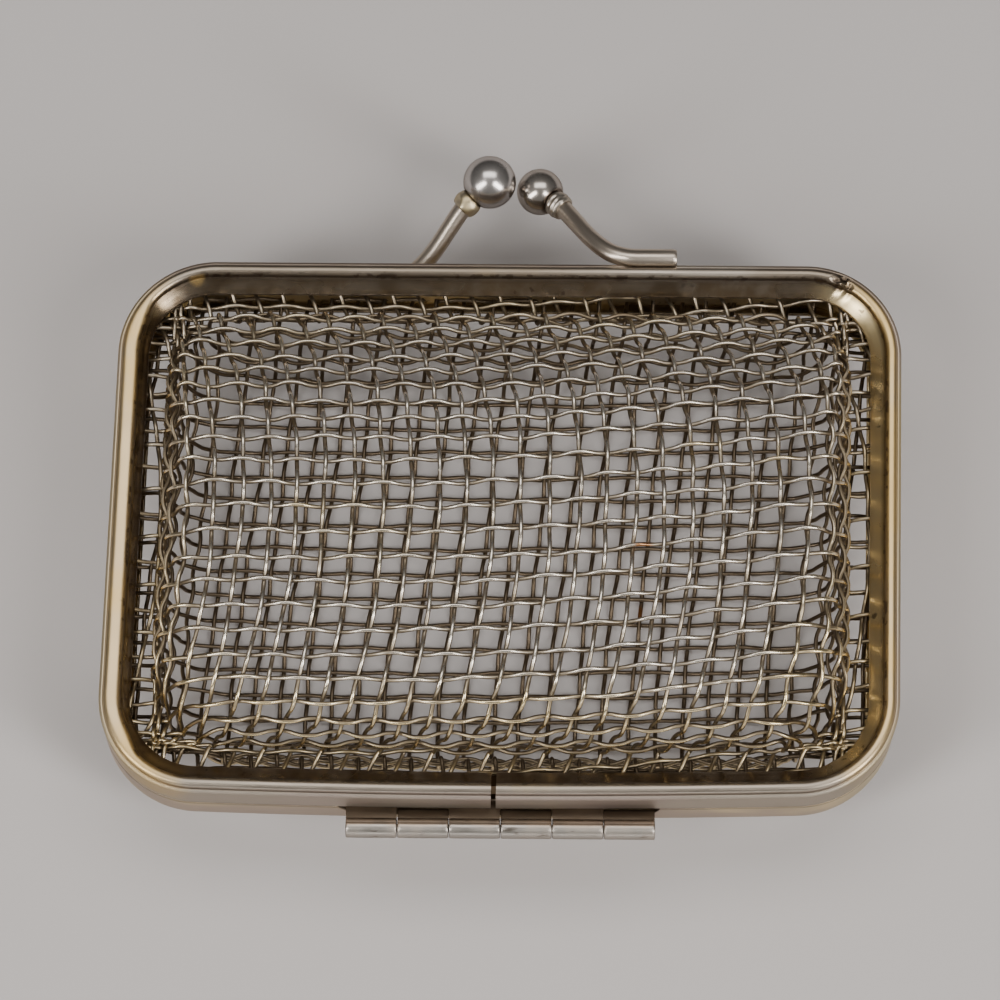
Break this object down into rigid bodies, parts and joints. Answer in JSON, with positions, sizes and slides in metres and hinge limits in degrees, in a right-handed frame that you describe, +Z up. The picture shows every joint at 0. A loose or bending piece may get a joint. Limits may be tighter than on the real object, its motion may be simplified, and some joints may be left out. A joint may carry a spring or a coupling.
{
  "type": "metal mesh purse",
  "caption": "Small box-shaped coin purse of pressed wire mesh in two hinged metal frames, with a kiss-lock clasp of two balls.",
  "frame": {"origin": "middle of the flat mesh face that the purse lies on", "axes": "+X along the hinge, to the right seen from the hinge side; +Y from the hinge side to the clasp side; +Z up, through both mesh faces"},
  "size_m": [0.0808, 0.0724, 0.025],
  "materials": {
    "frame_metal": "worn silver plate over brass",
    "wire_mesh": "tarnished silver-plated wire",
    "polished_ball": "polished nickel",
    "pin_steel": "plain"
  },
  "bodies": {
    "back": {"back_frame": "frame_metal", "back_mesh_tray": "wire_mesh", "back_clasp_ball": "polished_ball", "hinge_pin": "pin_steel"},
    "front": {"front_frame": "frame_metal", "front_mesh_tray": "wire_mesh", "front_clasp_ball": "polished_ball"}
  },
  "joints": [
    {"name": "hinge", "type": "hinge", "parent": "back", "child": "front", "pos_m": [-0.00022, -0.0307, 0.0125], "axis": [1, 0, 0], "range_deg": [0, 180]}
  ]
}
